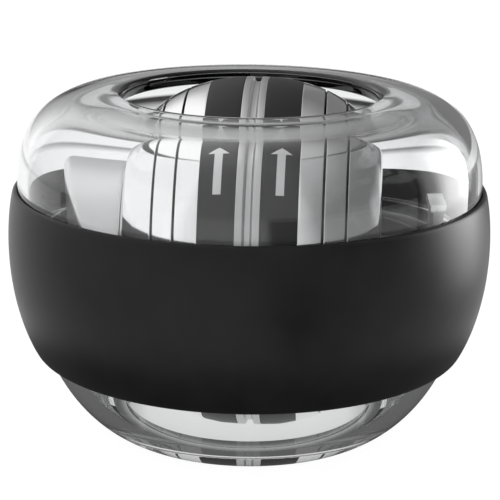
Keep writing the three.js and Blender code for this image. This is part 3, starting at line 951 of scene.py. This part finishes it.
def screw(index):
    top = screw_seat + screw_head_height
    outline = [
        (0, screw_end),
        (screw_radius, screw_end, small_round),
        (screw_radius, screw_seat),
        (screw_head_radius, screw_seat, small_round),
        (screw_head_radius, top, screw_head_round),
        (0, top),
    ]
    body = spun(outline, wheel_right, closed=False, steps=small_steps)
    face = rotor_shift + top
    bars = []
    for reach_y, reach_z in ((cross_reach, cross_width / 2), (cross_width / 2, cross_reach)):
        low = (face - cross_depth, -reach_y, axle_height - reach_z)
        high = (face + cross_depth, reach_y, axle_height + reach_z)
        bars.append(block(low, high))
    whole = combined(body, "DIFFERENCE", *bars)
    angle = math.tau * index / screw_count
    shift = (0, screw_circle * math.sin(angle), screw_circle * math.cos(angle))
    bmesh.ops.translate(whole, vec=shift, verts=whole.verts[:])
    finished(f"steel_screw_{index + 1}", whole, steel, "rotor", "steel", f"rotor_screw_{index + 1}")


for index in range(screw_count):
    screw(index)


# Spring drum beside the rotor
def drum():
    """A turned cup whose outer end is bent to the upright cylinder over the ring."""
    end_rings = spread(0, drum_radius, drum_end_steps)[1:-1]
    side_places = spread(drum_trim, drum_start, drum_side_steps)[1:-1]
    inside_rings = spread(cavity_radius, 0, drum_end_steps)[1:-1]
    outline = [
        (0, drum_trim),
        *[(radius, drum_trim) for radius in end_rings],
        (drum_radius, drum_trim, drum_outer_round),
        *[(drum_radius, place) for place in side_places],
        (drum_radius, drum_start, drum_inner_round),
        (cover_seat_radius, drum_start, small_round),
        (cover_seat_radius, cover_end + seat_gap),
        (cavity_radius, cover_end + seat_gap),
        (cavity_radius, drum_inside),
        *[(radius, drum_inside) for radius in inside_rings],
        (0, drum_inside),
    ]
    bm = spun(outline, to_left, closed=False)
    bend_start = cover_end + seat_gap
    for vert in bm.verts:
        place = -vert.co.x
        from_axle = math.hypot(vert.co.y, vert.co.z - axle_height)
        inside = from_axle < (cavity_radius + cover_seat_radius) / 2 and place <= drum_inside + weld
        reach = drum_inside if inside else drum_trim
        if place > bend_start:
            share = (place - bend_start) / (reach - bend_start)
            vert.co.x += min(share, 1) * (reach - math.sqrt(reach ** 2 - vert.co.y ** 2))
    slot_start = ring_inner_radius - loose_gap
    slot_half = ring_half_height + loose_gap
    ring_slot = [
        (slot_start, -slot_half),
        (shell_radius, -slot_half),
        (shell_radius, slot_half),
        (slot_start, slot_half),
    ]
    window_half_width = boss_half_width + loose_gap
    window_half_height = boss_half_height + loose_gap
    window_low = (-shell_radius, -window_half_width, axle_height - window_half_height)
    window_high = (loose_gap - boss_inner, window_half_width, axle_height + window_half_height)
    housing = combined(bm, "DIFFERENCE", spun(ring_slot, upright), block(window_low, window_high))
    finished("silver_spring_drum", housing, silver_plastic, "carrier", "silver_plastic", "spring_housing")


def drum_cover():
    hole = arbor_radius + cover_hole_gap
    outline = [
        (hole, drum_start, small_round),
        (cover_seat_radius - seat_gap, drum_start, small_round),
        (cover_seat_radius - seat_gap, cover_end, small_round),
        (hole, cover_end, small_round),
    ]
    cover = spun(outline, to_left)
    finished("silver_drum_cover", cover, silver_plastic, "carrier", "silver_plastic", "housing_cover")


drum()
drum_cover()

# The solids inside the drum keep their shape and get their finish.
for node, material in {
    "mainspring": steel,
    "spring_arbor": silver_plastic,
    "ratchet_ring": steel,
    "pawl_pin": steel,
    "pawl": steel,
}.items():
    for material_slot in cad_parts[node].material_slots:
        material_slot.material = material

# Camera
camera_distance = 0.250
camera_elevation = math.radians(15.8)
camera_azimuth = math.radians(3.1)
camera_roll = math.radians(0.58)
camera_lens = 122.6
camera_film_width = 36
aim_shift = 0.00012


def place_camera():
    data = bpy.data.cameras.new("camera")
    data.lens = camera_lens
    data.sensor_width = camera_film_width
    camera = bpy.data.objects.new("camera", data)
    bpy.context.collection.objects.link(camera)
    away = Vector((
        math.sin(camera_azimuth) * math.cos(camera_elevation),
        -math.cos(camera_azimuth) * math.cos(camera_elevation),
        math.sin(camera_elevation),
    ))
    stand = Matrix.Translation(Vector((aim_shift, 0, axle_height)) + away * camera_distance)
    turn_to_aim = (-away).to_track_quat("-Z", "Y").to_matrix().to_4x4()
    camera.matrix_world = stand @ turn_to_aim @ Matrix.Rotation(camera_roll, 4, "Z")
    bpy.context.scene.camera = camera


place_camera()
bpy.context.scene.view_settings.view_transform = "Standard"


# What stands in the studio
def studio_object(name, bm, material, *left_out_of):
    """A thing of the studio, left out of the kinds of rays that are named."""
    mesh = bpy.data.meshes.new(name)
    bm.to_mesh(mesh)
    bm.free()
    mesh.materials.append(material)
    thing = bpy.data.objects.new(name, mesh)
    bpy.context.collection.objects.link(thing)
    for kind in left_out_of:
        setattr(thing, "visible_" + kind, False)
    return thing


def standing_sheet(foot, height):
    """A sheet that stands upright on a row of points."""
    bm = bmesh.new()
    corners = [bm.verts.new(point) for point in foot]
    edges = [bm.edges.new(pair) for pair in zip(corners, corners[1:])]
    raised = bmesh.ops.extrude_edge_only(bm, edges=edges)["geom"]
    top = [part for part in raised if isinstance(part, bmesh.types.BMVert)]
    bmesh.ops.translate(bm, vec=(0, 0, height), verts=top)
    return bm


def glowing_material(name, level):
    """A surface that is seen by its own light and lights nothing by itself."""
    material, t, surface = new_material(name)
    surface["Base Color"].default_value = grey(0.0)
    surface["Specular IOR Level"].default_value = 0.0
    surface["Emission Strength"].default_value = level
    material.cycles.emission_sampling = "NONE"
    return material, t, surface


# Floor: pale for the light that it throws back, nearly white for the camera with a faint shadow on it
floor_half_size = 3.0
floor_shade = 0.86
floor_seen_shade = 0.12
floor_lift = 0.96
floor_roughness = 0.9
# What gloss and glass see of it: levels by the distance from the middle over this reach, and by the side
floor_ring_reach = 0.10
# Near the middle these levels are a painted shadow: 0.8 under the opening, darkest from 20 to 44 mm round
# the foot.
floor_ring_painted_shadow = [(0.0, 0.80), (0.15, 0.80), (0.18, 0.60), (0.20, 0.12), (0.44, 0.14), (0.62, 1.0), (1.0, 1.0)]
floor_far_shares = (0.5, 0.75)
floor_sides = [(0.0, 0.8), (0.25, 1.0), (0.58, 1.0), (0.62, 0.22), (0.76, 0.22), (0.82, 0.7), (1.0, 0.7)]
# Far behind, the glass bends a dark floor into view: by the distance to the rear and from the middle
floor_behind = (0.0, 0.03)
floor_far_reaches = (0.13, 0.16)
floor_far_level = 0.05


def floor_material():
    material, t, surface = new_material("studio_floor")
    path = t.node("ShaderNodeLightPath").outputs
    mirrored_ray = t.sum("MAXIMUM", path["Is Glossy Ray"], path["Is Transmission Ray"])
    seen = t.sum("MAXIMUM", path["Is Camera Ray"], mirrored_ray)
    place = t.place()
    sides = t.split(place)
    length = t.node("ShaderNodeVectorMath", operation="LENGTH")
    t.put(length.inputs[0], place)
    reach = length.outputs["Value"]
    share = t.sum("DIVIDE", reach, floor_ring_reach)
    sideways = t.sum("MULTIPLY_ADD", t.sum("DIVIDE", sides["X"], reach), 0.5, 0.5)
    far_out = t.between(share, *floor_far_shares, 0.0, 1.0)
    # The ring's low levels near the middle are a painted shadow round the foot.
    mirrored = t.mixed(far_out, t.ramp(share, floor_ring_painted_shadow), t.ramp(sideways, floor_sides), blend="MULTIPLY")
    behind = t.between(sides["Y"], *floor_behind, 0.0, 1.0)
    far_behind = t.sum("MULTIPLY", behind, t.between(reach, *floor_far_reaches, 0.0, 1.0))
    bent = t.sum("MULTIPLY", far_behind, path["Is Transmission Ray"])
    shown = t.mixed(path["Is Camera Ray"], t.mixed(bent, mirrored, grey(floor_far_level)), grey(1.0))
    seen_colour = t.product(shown, grey(floor_seen_shade))
    t.put(surface["Base Color"], t.mixed(seen, grey(floor_shade), seen_colour))
    t.put(surface["Emission Color"], shown)
    t.put(surface["Emission Strength"], t.sum("MULTIPLY", seen, floor_lift))
    surface["Roughness"].default_value = floor_roughness
    surface["Specular IOR Level"].default_value = 0.0
    return material


floor_bm = bmesh.new()
bmesh.ops.create_grid(floor_bm, x_segments=1, y_segments=1, size=floor_half_size)
floor = studio_object("studio_floor", floor_bm, floor_material())

# A tall soft box stands on the right, seen in gloss alone: it gives the shell and the band their soft
# highlight. It is dark at its front end and at its top, and grows bright between them.
soft_box_front = Vector((0.120, -0.024, 0.001))
soft_box_rear = Vector((0.0925, 0.0487, 0.001))
soft_box_height = 0.115
soft_box_level = 8.5
soft_box_along = [(0.0, 0.0), (0.25, 0.25), (0.56, 1.0), (1.0, 1.0)]
soft_box_up = [(0.0, 0.40), (0.12, 0.55), (0.25, 1.0), (0.5, 1.0), (1.0, 0.0)]


def soft_box_material():
    material, t, surface = glowing_material("soft_box", soft_box_level)
    place = t.split(t.place())
    along = t.between(place["Y"], soft_box_front.y, soft_box_rear.y, 0.0, 1.0)
    up = t.between(place["Z"], soft_box_front.z, soft_box_height, 0.0, 1.0)
    t.put(surface["Emission Color"], t.product(t.ramp(along, soft_box_along), t.ramp(up, soft_box_up)))
    return material


soft_box = studio_object(
    "soft_box", standing_sheet((soft_box_front, soft_box_rear), soft_box_height), soft_box_material(),
    "camera", "diffuse", "transmission", "shadow",
)

# Two white cards are bent round the back, seen through the shell alone, their edges fading out: a low one
# close by and a narrow one farther off, under the sight lines of the crown.
card_level = 1.0
card_steps = 48


def card_material(name, low, high, fade):
    material, t, surface = glowing_material(name, card_level)
    height = t.split(t.place())["Z"]
    from_low = t.between(height, low - fade, low, 0.0, 1.0)
    from_high = t.between(height, high, high + fade, 1.0, 0.0)
    t.put(surface["Alpha"], t.sum("MULTIPLY", from_low, from_high))
    surface["Emission Color"].default_value = grey(1.0)
    return material


def bent_card(name, *, radius, low, high, fade, left_end, right_end):
    """A card round the upright middle line. Its ends are degrees from straight behind."""
    angles = spread(math.radians(left_end), math.radians(right_end), card_steps)
    foot = [(radius * math.sin(angle), radius * math.cos(angle), low - fade) for angle in angles]
    card = studio_object(
        name, standing_sheet(foot, high - low + 2 * fade), card_material(name, low, high, fade),
        "camera", "diffuse", "glossy", "shadow",
    )


bent_card("near_card", radius=0.050, low=0.002, high=0.038, fade=0.003, left_end=-110, right_end=64)
bent_card("far_card", radius=0.100, low=0.040, high=0.049, fade=0.002, left_end=-80, right_end=60)

# Studio light: white for the camera, even for matt surfaces, and panels round the object for gloss and glass
even_light = 0.85
# A bright panel stands on the left. Its share runs once round, from the rear by the left, the front and the
# right back to the rear.
bright_level = 1.1
bright_share = [
    (0.0, 0.20),
    (0.042, 0.42),
    (0.064, 0.85),
    (0.083, 1.0),
    (0.34, 1.0),
    (0.39, 0.70),
    (0.50, 0.62),
    (0.583, 0.54),
    (0.598, 0.42),
    (0.614, 0.28),
    (0.631, 0.10),
    (0.658, 0.02),
    (0.67, 0.0),
    (0.975, 0.0),
    (1.0, 0.20),
]
# A dim wall stands on the right. Its level goes by the height of the direction.
dim_wall = [
    (0.0, 0.20),
    (0.55, 0.19),
    (0.62, 0.22),
    (0.71, 0.27),
    (0.78, 0.34),
    (0.86, 0.43),
    (0.94, 0.50),
    (1.0, 0.55),
]
# Behind, the bright panel rises out of a darker foot: its level by the height, and where round it does so
low_rise = [(0.0, 0.35), (0.12, 0.40), (0.26, 0.65), (0.37, 0.85), (0.45, 1.0), (1.0, 1.0)]
low_rise_share = [(0.0, 1.0), (0.062, 1.0), (0.085, 0.0), (0.95, 0.0), (1.0, 1.0)]
# A dark slot stands low down, straight behind the object.
slot_level = 0.05
slot_share = [(0.0, 1.0), (0.035, 1.0), (0.048, 0.0), (0.982, 0.0), (0.992, 1.0), (1.0, 1.0)]
slot_height = [(0.0, 1.0), (0.09, 1.0), (0.125, 0.0), (1.0, 0.0)]
# A light strip stands low on the right, towards the rear.
strip_share = [
    (0.0, 0.0),
    (0.78, 0.0),
    (0.80, 0.3),
    (0.84, 0.35),
    (0.865, 0.75),
    (0.89, 0.75),
    (0.91, 0.0),
    (1.0, 0.0),
]
strip_height = [(0.0, 1.0), (0.26, 1.0), (0.40, 0.0), (1.0, 0.0)]


def studio_light():
    world = bpy.data.worlds.new("studio")
    bpy.context.scene.world = world
    world.use_nodes = True
    world.node_tree.nodes.clear()
    t = Tree(world.node_tree)
    path = t.node("ShaderNodeLightPath").outputs
    direction = t.split(t.node("ShaderNodeTexCoord").outputs["Generated"])
    height = direction["Z"]
    forward = t.sum("MULTIPLY", direction["Y"], -1.0)
    heading = t.sum("ARCTAN2", direction["X"], forward)
    round_turn = t.sum("MULTIPLY_ADD", heading, 1 / math.tau, 0.5)
    rises = t.ramp(round_turn, low_rise_share, "LINEAR")
    rise = t.mixed(rises, grey(1.0), t.ramp(height, low_rise, "LINEAR"))
    bright = t.product(t.ramp(round_turn, bright_share, "LINEAR"), rise)
    walls = t.mixed(bright, t.ramp(height, dim_wall, "LINEAR"), grey(bright_level))
    patches = []
    for share, reach in ((slot_share, slot_height), (strip_share, strip_height)):
        round_part = t.ramp(round_turn, share, "LINEAR")
        patches.append(t.sum("MULTIPLY", round_part, t.ramp(height, reach, "LINEAR")))
    slot_part, strip_part = patches
    studio = t.mixed(strip_part, t.mixed(slot_part, walls, grey(slot_level)), grey(bright_level))
    mirrored_ray = t.sum("MAXIMUM", path["Is Glossy Ray"], path["Is Transmission Ray"])
    seen_ray = t.sum("MAXIMUM", path["Is Camera Ray"], mirrored_ray)
    seen = t.mixed(path["Is Camera Ray"], studio, grey(1.0))
    background = t.node("ShaderNodeBackground")
    output = t.node("ShaderNodeOutputWorld")
    t.put(background.inputs["Color"], t.mixed(seen_ray, grey(even_light), seen))
    t.put(output.inputs["Surface"], background.outputs[0])


studio_light()
